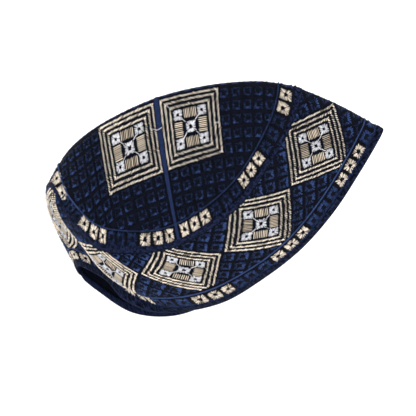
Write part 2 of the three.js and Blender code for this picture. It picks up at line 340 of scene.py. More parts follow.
    def crown_fold(self, turn: Rows, part: Rows) -> Rows:
        """Return points of the crown's outer face.

        Args:
            turn: angle round the oval from the front, in radians.
            part: share of the way from the ridge to the seam, positive on the near half.

        Returns:
            Points of the face.
        """
        turn, part = np.broadcast_arrays(np.asarray(turn, float), np.asarray(part, float))
        reach = np.maximum(self.crown_wide * np.sin(turn), 1e-6)
        side = part * reach
        place = turn / np.pi * self.half - self.band_lag * np.sin(turn)
        near, far = self.seam(place), self.seam(self.diamonds - place)
        ridge = self.ridge(np.degrees(turn))
        across, inward = (near - far) / 2, (near + far) / 2 - ridge
        soft = np.minimum(self.fold_softness, self.soft_share * reach)
        bent = (np.sqrt(side**2 + soft**2) - soft) / (np.sqrt(reach**2 + soft**2) - soft)
        p = ridge + across * (side / reach)[..., None] + inward * bent[..., None]
        puff = self.crown_puff * np.sin(np.pi * np.clip(part, 0, 1)) * np.sin(turn)
        out = -unit(np.cross(np.cross(across, inward), near - ridge))
        return self.settle(p + out * puff[..., None])

    def band_normal(self, arc: Rows, drop: Rows) -> Rows:
        """Return the band's outward normals.

        Args:
            arc: millimetres round the band from the front crease.
            drop: millimetres below the crown seam.

        Returns:
            Unit vectors.
        """
        step, fall = self.band_probe
        ahead = self.band(arc + step, drop) - self.band(arc - step, drop)
        down = self.band(arc, drop + fall) - self.band(arc, drop - fall)
        return unit(np.cross(ahead, down))

    def crown_normal(self, along: Rows, side: Rows) -> Rows:
        """Return the crown's outward normals, taken just inside its edge.

        Args:
            along: millimetres from the tape toward the front.
            side: millimetres from the ridge, positive on the near half.

        Returns:
            Unit vectors.
        """
        along, side = np.broadcast_arrays(np.asarray(along, float), np.asarray(side, float))
        edge = np.hypot(along / self.crown_long, side / self.crown_wide)
        most, step = self.crown_inside, self.crown_probe
        shrink = np.where(edge > most, most / np.maximum(edge, 1e-9), 1.0)
        a, s = along * shrink, side * shrink
        ahead = self.crown(a + step, s) - self.crown(a - step, s)
        across = self.crown(a, s + step) - self.crown(a, s - step)
        return -unit(np.cross(ahead, across))

    def welt_edge(self, place: Rows) -> Rows:
        """Return how far the welt reaches down the band, in millimetres, at each place."""
        front, back = (draw.at(place) for draw in self.welt_draw)
        return self.welt_low * (1 - front - back)

    def seam_turn(self, place: Rows) -> Rows:
        """Find where the crown meets places on the seam.

        Args:
            place: places round the band, in diamonds.

        Returns:
            Turns of the crown, in radians.
        """
        folded = np.where(place <= self.half, place, self.diamonds - place)
        turn = folded / self.half * np.pi
        for _ in range(self.lag_rounds):
            turn = (folded + self.band_lag * np.sin(turn)) / self.half * np.pi
        return turn


FORM = CapForm()


class Nodes:
    """Small helper that lays nodes of a material side by side and joins them."""

    def __init__(self, name: str) -> None:
        """Start a material with its output and its main shader.

        Args:
            name: name of the material.
        """
        self.material = bpy.data.materials.new(name)
        self.material.use_nodes = True
        self.tree = self.material.node_tree
        self.shader = self.tree.nodes["Principled BSDF"]

    def add(self, kind: str, **values: object) -> bpy.types.Node:
        """Add a node.

        Args:
            kind: type of the node.
            values: properties of the node, or its inputs by name with _ for a space.

        Returns:
            The new node.
        """
        node = self.tree.nodes.new(kind)
        for key, value in values.items():
            if hasattr(node, key):
                setattr(node, key, value)
            else:
                node.inputs[key.replace("_", " ")].default_value = value
        return node

    def join(self, source: Socket, target: Socket) -> None:
        """Link one socket to another."""
        self.tree.links.new(source, target)

    def math(self, operation: str, a: Union[float, Socket], b: Union[float, Socket] = 0.5) -> Socket:
        """Add a sum of two values.

        Args:
            operation: kind of sum.
            a: first value, or the socket that gives it.
            b: second value, or the socket that gives it.

        Returns:
            Socket of the result.
        """
        node = self.add("ShaderNodeMath", operation=operation)
        for socket, value in zip(node.inputs, (a, b)):
            if isinstance(value, Socket):
                self.join(value, socket)
            else:
                socket.default_value = value
        return node.outputs[0]

    def ramp(self, source: Socket, stops: Sequence[Tuple[float, Tuple[float, ...]]]) -> Socket:
        """Add a colour ramp.

        Args:
            source: socket of the value that picks the colour.
            stops: place and colour of each stop.

        Returns:
            Socket of the colour.
        """
        node = self.add("ShaderNodeValToRGB")
        ramp = node.color_ramp
        while len(ramp.elements) < len(stops):
            ramp.elements.new(0.5)
        for element, (place, colour) in zip(ramp.elements, stops):
            element.position = place
            element.color = (*colour, 1.0)
        self.join(source, node.inputs["Fac"])
        return node.outputs["Color"]

    def relief(self, height: Socket, strength: float, depth: float) -> None:
        """Feed a height to the shader as relief.

        Args:
            height: socket of the height.
            strength: how much of the relief shows.
            depth: its depth in metres.
        """
        node = self.add("ShaderNodeBump", Strength=strength, Distance=depth)
        self.join(height, node.inputs["Height"])
        self.join(node.outputs["Normal"], self.shader.inputs["Normal"])

    def finish(self, roughness: float, specular: float, gleam: Tuple[float, float, float]) -> None:
        """Set the shader's even values.

        Args:
            roughness: how soft the reflection is.
            specular: how strong the reflection is.
            gleam: colour of the reflection.
        """
        self.shader.inputs["Roughness"].default_value = roughness
        self.shader.inputs["Specular IOR Level"].default_value = specular
        self.shader.inputs["Specular Tint"].default_value = (*gleam, 1.0)


@dataclass(frozen=True)
class ThreadFinish:
    """Shiny twisted embroidery thread."""

    thread: Thread
    dark: Tuple[float, float, float]
    light: Tuple[float, float, float]
    roughness: float = 0.5
    specular: float = 0.2
    gleam: Tuple[float, float, float] = (1.0, 1.0, 1.0)
    twist_mm: float = 0.9
    slant: float = 1.6
    rib_painted_shade: float = 0.12
    relief: Tuple[float, float] = (0.5, 0.00012)

    def material(self) -> bpy.types.Material:
        """Make the thread's material, lighter or darker from stitch to stitch by random tone and painted
        light, and ribbed by its twist with painted shade on the ribs.

        Returns:
            The material.
        """
        nodes = Nodes(f"{self.thread.value}_thread")
        tone_and_painted_light = nodes.add("ShaderNodeAttribute", attribute_name="tone_and_painted_light")
        uv = nodes.add("ShaderNodeUVMap", uv_map="lay")
        split = nodes.add("ShaderNodeSeparateXYZ")
        nodes.join(uv.outputs["UV"], split.inputs[0])
        lean = nodes.math("MULTIPLY_ADD", split.outputs["Y"], self.slant)
        nodes.join(nodes.math("DIVIDE", split.outputs["X"], self.twist_mm), lean.node.inputs[2])
        rib = nodes.math("SINE", nodes.math("MULTIPLY", lean, 2 * math.pi))
        # painted shade: the colour goes lighter and darker with the twist's ribs, which also give the
        # relief
        shade = nodes.math("MULTIPLY_ADD", rib, self.rib_painted_shade)
        nodes.join(tone_and_painted_light.outputs["Fac"], shade.node.inputs[2])
        colour = nodes.ramp(shade, [(0.0, self.dark), (1.0, self.light)])
        nodes.join(colour, nodes.shader.inputs["Base Color"])
        nodes.relief(rib, *self.relief)
        nodes.finish(self.roughness, self.specular, self.gleam)
        return nodes.material


@dataclass(frozen=True)
class GroundFinish:
    """Dark ground cloth, filled with close rows of black and navy stitches."""

    name: str = "navy_ground"
    rows_mm: float = 0.9
    dark: Tuple[float, float, float] = (0.0014, 0.0015, 0.0026)
    light: Tuple[float, float, float] = (0.0045, 0.0056, 0.012)
    stops: Tuple[float, float] = (0.3, 0.75)
    roughness: float = 0.8
    specular: float = 0.06
    gleam: Tuple[float, float, float] = (0.6, 0.7, 1.0)
    weave_shade: float = 0.18
    relief: Tuple[float, float] = (0.6, 0.00025)

    def material(self) -> bpy.types.Material:
        """Make the ground's material, which reads the flat pattern in millimetres.

        Returns:
            The material.
        """
        nodes = Nodes(self.name)
        uv = nodes.add("ShaderNodeUVMap", uv_map="pattern")
        split = nodes.add("ShaderNodeSeparateXYZ")
        nodes.join(uv.outputs["UV"], split.inputs[0])
        waves = []
        for axis in ("X", "Y"):
            along = nodes.math("MULTIPLY", split.outputs[axis], 2 * math.pi / self.rows_mm)
            waves.append(nodes.math("SINE", along))
        weave = nodes.math("MULTIPLY", waves[0], waves[1])
        patch = nodes.add("ShaderNodeTexNoise", Scale=0.35, Detail=3.0, Roughness=0.6)
        nodes.join(uv.outputs["UV"], patch.inputs["Vector"])
        mix = nodes.math("MULTIPLY_ADD", weave, self.weave_shade)
        nodes.join(patch.outputs["Fac"], mix.node.inputs[2])
        colour = nodes.ramp(mix, list(zip(self.stops, (self.dark, self.light))))
        nodes.join(colour, nodes.shader.inputs["Base Color"])
        nodes.relief(weave, *self.relief)
        nodes.finish(self.roughness, self.specular, self.gleam)
        return nodes.material


@dataclass(frozen=True)
class TapeFinish:
    """Plain woven navy tape with fine slanting ribs."""

    name: str
    dark: Tuple[float, float, float] = (0.0003, 0.0004, 0.0015)
    light: Tuple[float, float, float] = (0.0115, 0.0165, 0.046)
    rib_mm: float = 0.8
    lean: float = 0.35
    rib_painted_shade: float = 0.15
    relief: Tuple[float, float] = (0.6, 0.0002)
    roughness: float = 0.75
    specular: float = 0.05
    gleam: Tuple[float, float, float] = (0.4, 0.6, 1.0)
    across: Tuple[float, float] = (0.0, 1.0)
    # lightness across the tape, as place and value: painted light and shade where it is not even
    painted_shading: Tuple[Tuple[float, float], ...] = ((0.0, 0.5), (1.0, 0.5))
    speckle: float = 5.0

    def material(self) -> bpy.types.Material:
        """Make the tape's material, ribbed on the slant like a twill.

        Returns:
            The material.
        """
        nodes = Nodes(self.name)
        uv = nodes.add("ShaderNodeUVMap", uv_map="pattern")
        split = nodes.add("ShaderNodeSeparateXYZ")
        nodes.join(uv.outputs["UV"], split.inputs[0])
        slant = nodes.math("MULTIPLY_ADD", split.outputs["X"], self.lean)
        nodes.join(split.outputs["Y"], slant.node.inputs[2])
        rib = nodes.math("SINE", nodes.math("MULTIPLY", slant, 2 * math.pi / self.rib_mm))
        patch = nodes.add("ShaderNodeTexNoise", Scale=0.6, Detail=2.0, Roughness=0.6)
        nodes.join(uv.outputs["UV"], patch.inputs["Vector"])
        uneven = nodes.math("SUBTRACT", patch.outputs["Fac"], 0.5)
        speck = nodes.math("MULTIPLY_ADD", uneven, self.speckle)
        # painted shade: the colour goes lighter and darker with the ribs, which also give the relief
        nodes.join(nodes.math("MULTIPLY", rib, self.rib_painted_shade), speck.node.inputs[2])
        # painted light and shade across the tape
        place = nodes.math("SUBTRACT", split.outputs["Y"], self.across[0])
        place = nodes.math("DIVIDE", place, self.across[1] - self.across[0])
        shade = nodes.ramp(place, [(at, (value, value, value)) for at, value in self.painted_shading])
        mix = nodes.math("ADD", shade, speck)
        colour = nodes.ramp(mix, [(0.0, self.dark), (1.0, self.light)])
        nodes.join(colour, nodes.shader.inputs["Base Color"])
        nodes.relief(rib, *self.relief)
        nodes.finish(self.roughness, self.specular, self.gleam)
        return nodes.material


COOL = (0.3, 0.5, 1.0)
PALE = (0.7, 0.8, 1.0)
# thread, its dark and its light colour, then where they differ roughness, specular and gleam
THREADS: Tuple[ThreadFinish, ...] = (
    ThreadFinish(Thread.GOLD, (0.16, 0.125, 0.09), (1.0, 0.89, 0.75)),
    ThreadFinish(Thread.TAN, (0.23, 0.185, 0.135), (0.96, 0.82, 0.64)),
    ThreadFinish(Thread.WHITE, (0.30, 0.305, 0.34), (0.94, 0.94, 0.97)),
    ThreadFinish(Thread.BLUE, (0.0018, 0.0024, 0.0060), (0.036, 0.068, 0.200), 0.45, 0.2, COOL),
    ThreadFinish(Thread.CORD, (0.005, 0.009, 0.029), (0.036, 0.060, 0.155), 0.5, 0.2, COOL),
    ThreadFinish(Thread.BLACK, (0.0012, 0.0012, 0.0020), (0.0045, 0.0048, 0.0080), 0.5, 0.08, PALE),
)


@dataclass(frozen=True)
class CapFlat:
    """Flat sizes of the cut cloth in metres, and areas of what lies on the cap of its tapes."""

    crown_half: float = 0.097
    band: Tuple[float, float] = (0.070, 0.580)
    tape: Tuple[float, float] = (0.0105, 0.176)
    tape_area: float = 0.0007
    welt: Tuple[float, float] = (0.012, 0.570)
    welt_area: float = 0.0036
    binding: Tuple[float, float] = (0.022, 0.580)
    binding_area: float = 0.0062


def smooth(obj: bpy.types.Object) -> None:
    """Shade all faces of a piece smooth."""
    obj.data.polygons.foreach_set("use_smooth", np.ones(len(obj.data.polygons), bool))
    obj.data.update()


@dataclass
class ClothSheet:
    """A grid of cloth that is cut flat and then folded onto the cap."""

    name: str
    columns: int
    rows: int
    wall: float
    material: bpy.types.Material
    sewn: float = 0.00002
    least: float = 0.00001

    def make(self, lay: Callable[[Rows, Rows], Ends]) -> bpy.types.Object:
        """Cut the grid, fold it and give it its thickness.

        Args:
            lay: gives the folded points and the flat pattern for shares along and across the grid.

        Returns:
            The finished piece.
        """
        bpy.ops.object.select_all(action="DESELECT")
        bpy.ops.mesh.primitive_grid_add(
            x_subdivisions=self.columns, y_subdivisions=self.rows, size=1.0, calc_uvs=True
        )
        obj = bpy.context.active_object
        obj.name = obj.data.name = self.name
        mesh = obj.data
        flat = np.empty(len(mesh.vertices) * 3)
        mesh.vertices.foreach_get("co", flat)
        flat = flat.reshape(-1, 3)
        points, pattern = lay(flat[:, 0] + 0.5, flat[:, 1] + 0.5)
        mesh.vertices.foreach_set("co", (points * MM).ravel())
        uv = mesh.uv_layers.active
        uv.name = "pattern"
        corner = np.empty(len(mesh.loops), int)
        mesh.loops.foreach_get("vertex_index", corner)
        uv.data.foreach_set("uv", pattern[corner].astype(np.float32).ravel())
        mesh.update()
        self.close(obj)
        mesh.materials.append(self.material)
        smooth(obj)
        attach(obj, "root")
        return obj

    def close(self, obj: bpy.types.Object) -> None:
        """Sew the ends of the grid together and thicken it inward.

        Args:
            obj: the folded grid.
        """
        bpy.ops.object.mode_set(mode="EDIT")
        bpy.ops.mesh.select_all(action="SELECT")
        bpy.ops.mesh.remove_doubles(threshold=self.sewn)
        bpy.ops.mesh.dissolve_degenerate(threshold=self.least)
        bpy.ops.object.mode_set(mode="OBJECT")
        if self.wall > 0:
            shell = obj.modifiers.new("wall", "SOLIDIFY")
            shell.thickness = self.wall * MM
            shell.offset = -1.0
            shell.use_quality_normals = True
            bpy.ops.object.modifier_apply(modifier=shell.name)


@dataclass
class Crown:
    """Oval top of the cap: two halves of cloth with a tape between them."""

    ground: bpy.types.Material
    tape: bpy.types.Material
    wall: float = 1.3
    edge: float = 0.6
    seam_start: float = 0.8
    tape_wide: float = 3.7
    tape_narrow: float = 2.6
    tape_rise: float = 0.45
    tape_power: int = 4
    tape_wall: float = 0.8
    tape_columns: int = 130
    tape_rows: int = 8
    # lift of the tape over the cloth, and the least height of its points above the floor
    clear: float = 0.05
    columns: int = 64
    rows: int = 110
    # how much closer together the grid's lines are toward the tip and toward the ridge
    tip_power: float = 1.35
    ridge_power: float = 1.4
    tip: float = 0.004

    def half(self, side: Side) -> bpy.types.Object:
        """Build the cloth on one side of the tape.

        Args:
            side: which half.

        Returns:
            The finished piece.
        """
        long = FORM.crown_long - self.edge
        wide = FORM.crown_wide - self.edge
        stop = math.acos(self.seam_start / long)

        def lay(u: Rows, v: Rows) -> Ends:
            """Fold the half oval.

            Args:
                u: shares along the grid.
                v: shares across it.

            Returns:
                Folded points and the flat pattern.
            """
            turn = stop * (self.tip + (1 - self.tip) * u**self.tip_power)
            s = 2 * v - 1
            share = np.sign(s) * np.abs(s) ** self.ridge_power
            along = side.value * long * np.cos(turn)
            across = side.value * share * wide * np.sin(turn)
            return FORM.crown(along, across), np.stack([along, across], -1)

        name = f"crown_{side.name.lower()}_cloth"
        obj = ClothSheet(name, self.columns, self.rows, self.wall, self.ground).make(lay)
        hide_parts(f"crown_{side.name.lower()}")
        return obj

    def seam_tape(self) -> bpy.types.Object:
        """Build the tape from side to side over the ridge.

        Returns:
            The finished piece.
        """
        reach = FORM.crown_wide - self.edge

        def lay(u: Rows, v: Rows) -> Ends:
            """Fold the tape and round it across.

            Args:
                u: shares along the grid.
                v: shares across it.

            Returns:
                Folded points and the flat pattern.
            """
            s = 2 * u - 1
            side = np.sign(s) * np.abs(s) ** self.ridge_power * reach
            taper = self.tape_wide + (self.tape_narrow - self.tape_wide) * (side / reach) ** 2
            along = (v - 0.5) * taper
            rise = self.tape_rise * (1 - np.abs(2 * v - 1) ** self.tape_power) + self.clear
            p = FORM.crown(along, side) + FORM.crown_normal(along, side) * rise[:, None]
            p[:, 2] = np.maximum(p[:, 2], self.clear)
            return p, np.stack([side, along], -1)

        sheet = ClothSheet("crown_tape", self.tape_columns, self.tape_rows, self.tape_wall, self.tape)
        obj = sheet.make(lay)
        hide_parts("crown_seam_tape")
        return obj

    def build(self) -> List[bpy.types.Object]:
        """Build the crown's pieces."""
        return [self.half(Side.FRONT), self.half(Side.BACK), self.seam_tape()]


@dataclass
class Band:
    """Tall side wall with a welt at the crown and a binding at the rim."""

    ground: bpy.types.Material
    tape: bpy.types.Material
    edging: bpy.types.Material
    wall: float = 1.4
    top: float = 0.8
    foot: float = 68.2
    welt_on_crown: float = 1.2
    crown_draw: Bulge = Bulge(0.5, 4.45, 0.75)
    welt_rise: float = 0.8
    welt_power: float = 2.6
    welt_sink: float = 0.25
    welt_wall: float = 0.7
    # half of the width over which the welt turns from the crown to the band
    welt_turn: float = 1.6
    binding_wide: float = 6.9
    binding_rise: float = 1.1
    binding_powers: Tuple[float, float] = (0.45, 0.75)
    binding_round: float = 20.0
    # normals are taken at least this far from an edge of the band
    inside: float = 0.6
    # least height of the points above the floor
    clear: Tuple[float, float] = (0.05, 0.02)
    crowding: float = 0.62
    steps: int = 300
    rows: Tuple[int, int, int] = (40, 10, 28)

    def places(self, u: Rows) -> Rows:
        """Return places round the loop in diamonds, closer together at the two folds."""
        turn = 2 * np.pi * u
        return FORM.diamonds * (u - self.crowding * np.sin(2 * turn) / (4 * np.pi))

    def side(self) -> bpy.types.Object:
        """Build the wall of the band.

        Returns:
            The finished piece.
        """

        def lay(u: Rows, v: Rows) -> Ends:
            """Wrap the strip round the cap.

            Args:
                u: shares along the grid.
                v: shares across it.

            Returns:
                Folded points and the flat pattern.
            """
            arc = self.places(u) * FORM.pitch
            drop = self.top + (self.foot - self.top) * v
            return FORM.band(arc, drop), np.stack([arc, drop], -1)

        obj = ClothSheet("band_cloth", self.steps, self.rows[0], self.wall, self.ground).make(lay)
        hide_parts("band")
        return obj

    def welt(self) -> bpy.types.Object:
        """Build the rounded strip over the crown seam.

        Returns:
            The finished piece.
        """

        def lay(u: Rows, v: Rows) -> Ends:
            """Sweep the strip's rounded section along the seam.

            Args:
                u: shares along the grid.
                v: shares across it.

            Returns:
                Folded points and the flat pattern.
            """
            place = self.places(u) % FORM.diamonds
            high = self.welt_on_crown * (1 - self.crown_draw.at(place))
            reach = (FORM.welt_edge(place) + high) * v - high
            round_up = np.sqrt(np.maximum(1 - np.abs(2 * v - 1) ** self.welt_power, 0))
            turn = FORM.seam_turn(place)
            near = np.where(place <= FORM.half, 1.0, -1.0)
            inset = np.maximum(-reach, 0.0)
            along = (FORM.crown_long - inset) * np.cos(turn)
            side = near * (FORM.crown_wide - inset) * np.sin(turn)
            inner = np.arccos(np.clip(along / FORM.crown_long, -1, 1))
            part = side / np.maximum(FORM.crown_wide * np.sin(inner), 1e-6)
            on_crown = FORM.crown_fold(inner, np.clip(part, -1, 1))
            below = FORM.band(place * FORM.pitch, np.maximum(reach, 0.0))
            base = np.where((reach < 0)[:, None], on_crown, below)
            share = np.clip((reach + self.welt_turn) / (2 * self.welt_turn), 0, 1)[:, None]
            out = FORM.crown_normal(along, side) * (1 - share)
            lower = np.maximum(reach, self.inside)
            out = out + FORM.band_normal(place * FORM.pitch, lower) * share
            p = base + unit(out) * (self.welt_rise * round_up - self.welt_sink)[:, None]
            p[:, 2] = np.maximum(p[:, 2], self.clear[0])
            return p, np.stack([place * FORM.pitch, reach], -1)

        sheet = ClothSheet("crown_welt_tape", self.steps, self.rows[1], self.welt_wall, self.tape)
        obj = sheet.make(lay)
        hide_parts("crown_welt")
        return obj

    def binding(self) -> bpy.types.Object:
        """Build the tape folded over the rim.

        Returns:
            The finished piece.
        """

        def lay(u: Rows, v: Rows) -> Ends:
            """Sweep the folded tape round the rim.

            Args:
                u: shares along the grid.
                v: shares across it.

            Returns:
                Folded points and the flat pattern.
            """
            place = self.places(u) % FORM.diamonds
            turn = 2 * np.pi * v
            half_thick = (self.wall + 2 * self.binding_rise) / 2
            shape = np.abs(np.cos(turn)) ** self.binding_powers[0] * np.sign(np.cos(turn))
            lift = np.abs(np.sin(turn)) ** self.binding_powers[1] * np.sign(np.sin(turn))
            drop = FORM.band_height - self.binding_wide / 2 + shape * self.binding_wide / 2
            rise = -self.wall / 2 - half_thick * lift
            arc = place * FORM.pitch
            upper = np.minimum(drop, FORM.band_height - self.inside)
            p = FORM.band(arc, drop) + FORM.band_normal(arc, upper) * rise[:, None]
            p[:, 2] = np.maximum(p[:, 2], self.clear[1])
            return p, np.stack([arc, v * self.binding_round], -1)

        obj = ClothSheet("rim_tape", self.steps, self.rows[2], 0.0, self.edging).make(lay)
        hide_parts("rim_binding")
        return obj

    def build(self) -> List[bpy.types.Object]:
        """Build the band's pieces."""
        return [self.side(), self.welt(), self.binding()]


@dataclass(frozen=True)
class Stitch:
    """Size of a kind of stitch: width, heights over the cloth at its last and first points, and base."""

    wide: float
    high: float
    low: float
    base: float = 0.0

    def flatter(self, share: float) -> "Stitch":
        """Return the stitch at a share of its height."""
        return Stitch(self.wide, self.high * share, self.low * share, self.base)


# corners of one rod: 0 is its first tip, 1 to 3 and 4 to 6 go round it, 7 is its last tip
ROD = np.array([
    (0, 2, 1), (0, 3, 2), (0, 1, 3), (1, 2, 5), (1, 5, 4), (3, 6, 5), (3, 5, 2),
    (1, 4, 6), (1, 6, 3), (4, 5, 7), (5, 6, 7), (4, 7, 6),
])
ROD_ACROSS = np.array([0.5, 0, 0.5, 1, 0, 0.5, 1, 0.5])


@dataclass
class StitchBook:
    """Stitches of one part of the cap, kept by thread until they are sewn as joined meshes."""

    name: str
    surface: Surface
    normal: Surface
    seed: int
    spread: float = 0.17
    uneven: float = 0.12
    shortest: float = 0.4
    # shares of a rod's length at its tips and shoulders, depth in the cloth and height off the floor
    stations: Tuple[float, float, float, float] = (0.0, 0.16, 0.84, 1.0)
    sink: float = 0.12
    clear: float = 0.03
    # how far the twist of the thread is moved from stitch to stitch
    twist_shift: float = 7.0
    stitches: Dict[Thread, List[Rows]] = field(default_factory=dict)

    def __post_init__(self) -> None:
        """Start the stitches' small unevenness."""
        self.rng = np.random.default_rng(self.seed)

    def add(self, thread: Thread, ends: Ends, stitch: Stitch, shade: Shade = 0.5) -> None:
        """Add straight stitches.

        Args:
            thread: thread they are sewn with.
            ends: first and last points on the flat pattern, one row each.
            stitch: their size.
            shade: how light the thread is, from 0 to 1: its tone, with painted light and shade where a
                caller sets it.
        """
        count = len(ends[0])
        uneven = 1 + self.uneven * self.rng.standard_normal((3, count))
        tone_and_painted_light = np.clip(shade + self.spread * self.rng.standard_normal(count), 0, 1)
        sizes = np.array([[stitch.wide], [stitch.high], [stitch.low]]) * uneven
        rows = np.column_stack([*ends, *sizes, np.full(count, stitch.base), tone_and_painted_light])
        self.stitches.setdefault(thread, []).append(rows)

    def trim(self, top: Carry, foot: Carry) -> None:
        """Cut off what runs past two limits of the pattern's second direction.

        Args:
            top: gives the first limit for places along the pattern.
            foot: gives the second limit.
        """
        for thread, parts in self.stitches.items():
            rows = np.concatenate(parts)
            run = rows[:, 3] - rows[:, 1]
            run = np.where(np.abs(run) < 1e-9, 1e-9, run)
            limits = [(edge(rows[:, 0]) - rows[:, 1]) / run for edge in (top, foot)]
            limits = np.sort(np.stack(limits), axis=0)
            first, last = np.maximum(limits[0], 0.0), np.minimum(limits[1], 1.0)
            way = rows[:, 2:4] - rows[:, 0:2]
            start = rows[:, 0:2].copy()
            rows[:, 0:2] = start + way * first[:, None]
            rows[:, 2:4] = start + way * last[:, None]
            kept = (last - first) * np.linalg.norm(way, axis=1) > self.shortest
            self.stitches[thread] = [rows[kept]]

    def take(self, other: "StitchBook") -> None:
        """Take over all stitches of another book."""
        for thread, parts in other.stitches.items():
            self.stitches.setdefault(thread, []).extend(parts)

    def rods(self, rows: Rows) -> Ends:
        """Work out the small rounded rods that stand for stitches.

        Args:
            rows: stitches as they are kept in the book.

        Returns:
            Eight corners for each stitch, and its length.
        """
        start, end = rows[:, 0:2], rows[:, 2:4]
        wide, high, low, base = rows[:, 4:8].T
        flat = [start + (end - start) * share for share in self.stations]
        on = [self.surface(p[:, 0], p[:, 1]) for p in flat]
        out = [self.normal(p[:, 0], p[:, 1]) for p in flat]
        ahead = unit(on[3] - on[0])
        points = np.empty((len(rows), 8, 3))
        sunk = (base - self.sink)[:, None]
        points[:, 0] = on[0] + out[0] * sunk
        points[:, 7] = on[3] + out[3] * sunk
        for first, k, tall in ((1, 1, low), (4, 2, high)):
            left = unit(np.cross(out[k], ahead)) * (wide / 2)[:, None]
            points[:, first] = on[k] + out[k] * sunk + left
            points[:, first + 1] = on[k] + out[k] * (base + tall)[:, None]
            points[:, first + 2] = on[k] + out[k] * sunk - left
        points[..., 2] = np.maximum(points[..., 2], self.clear)
        return points, np.linalg.norm(on[3] - on[0], axis=1)

    def sew(self, thread: Thread, material: bpy.types.Material, name: str) -> bpy.types.Object:
        """Turn all stitches of one thread into one joined mesh.

        Args:
            thread: which stitches.
            material: finish of the thread.
            name: name of the piece.

        Returns:
            The finished piece.
        """
        rows = np.concatenate(self.stitches[thread])
        points, length = self.rods(rows)
        count, shade = len(rows), rows[:, 8]
        faces = (ROD[None] + 8 * np.arange(count)[:, None, None]).reshape(-1, 3)
        mesh = bpy.data.meshes.new(name)
        mesh.vertices.add(count * 8)
        mesh.vertices.foreach_set("co", (points * MM).ravel())
        mesh.loops.add(faces.size)
        mesh.loops.foreach_set("vertex_index", faces.ravel())
        mesh.polygons.add(len(faces))
        mesh.polygons.foreach_set("loop_start", np.arange(0, faces.size, 3))
        mesh.update(calc_edges=True)
        tone_and_painted_light = mesh.attributes.new("tone_and_painted_light", "FLOAT", "POINT")
        tone_and_painted_light.data.foreach_set("value", np.repeat(shade, 8))
        lay = np.empty((count, 8, 2), np.float32)
        lay[..., 0] = length[:, None] * np.repeat(self.stations, (1, 3, 3, 1))
        lay[..., 0] += self.twist_shift * shade[:, None]
        lay[..., 1] = ROD_ACROSS
        uv = mesh.uv_layers.new(name="lay")
        uv.data.foreach_set("uv", lay.reshape(-1, 2)[faces.ravel()].ravel())
        obj = bpy.data.objects.new(name, mesh)
        bpy.context.scene.collection.objects.link(obj)
        mesh.materials.append(material)
        smooth(obj)
        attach(obj, "root")
        return obj

    def sew_all(self, materials: Dict[Thread, bpy.types.Material]) -> List[bpy.types.Object]:
        """Sew every thread of this part."""
        return [self.sew(t, materials[t], f"{self.name}_{t.value}_stitches") for t in self.stitches]


# unevenness of a square of rays: in its angles, at its edge and round its hole
RAY_TURN = 0.2
RAY_EDGE = 0.05
RAY_HOLE = (0.6, 1.5)


def ray_square(
    rng: np.random.Generator, half: Tuple[float, float], rays: int, hole: float, pinch: float
) -> Ends:
    """Return stitches that run from a ragged hole to the uneven edge of a square about the origin.

    Args:
        rng: source of small unevenness.
        half: half of each side.
        rays: how many stitches.
        hole: radius of the hole.
        pinch: how far the middles of the sides are drawn in, as a share.

    Returns:
        First and last points of the stitches.
    """
    angle = 2 * np.pi * (np.arange(rays) + 0.5 + RAY_TURN * rng.standard_normal(rays)) / rays
    way = np.stack([np.cos(angle), np.sin(angle)], -1)
    square = 1 / np.maximum(np.abs(way[:, 0]), np.abs(way[:, 1]))
    reach = square * (1 - pinch * (1 - np.abs(np.sin(2 * angle)) ** 1.5))
    reach = reach * (1 + RAY_EDGE * rng.standard_normal(rays))
    inner = hole * (0.5 + 0.5 * square) * rng.uniform(*RAY_HOLE, rays)
    return way * inner[:, None], way * reach[:, None] * np.array(half)


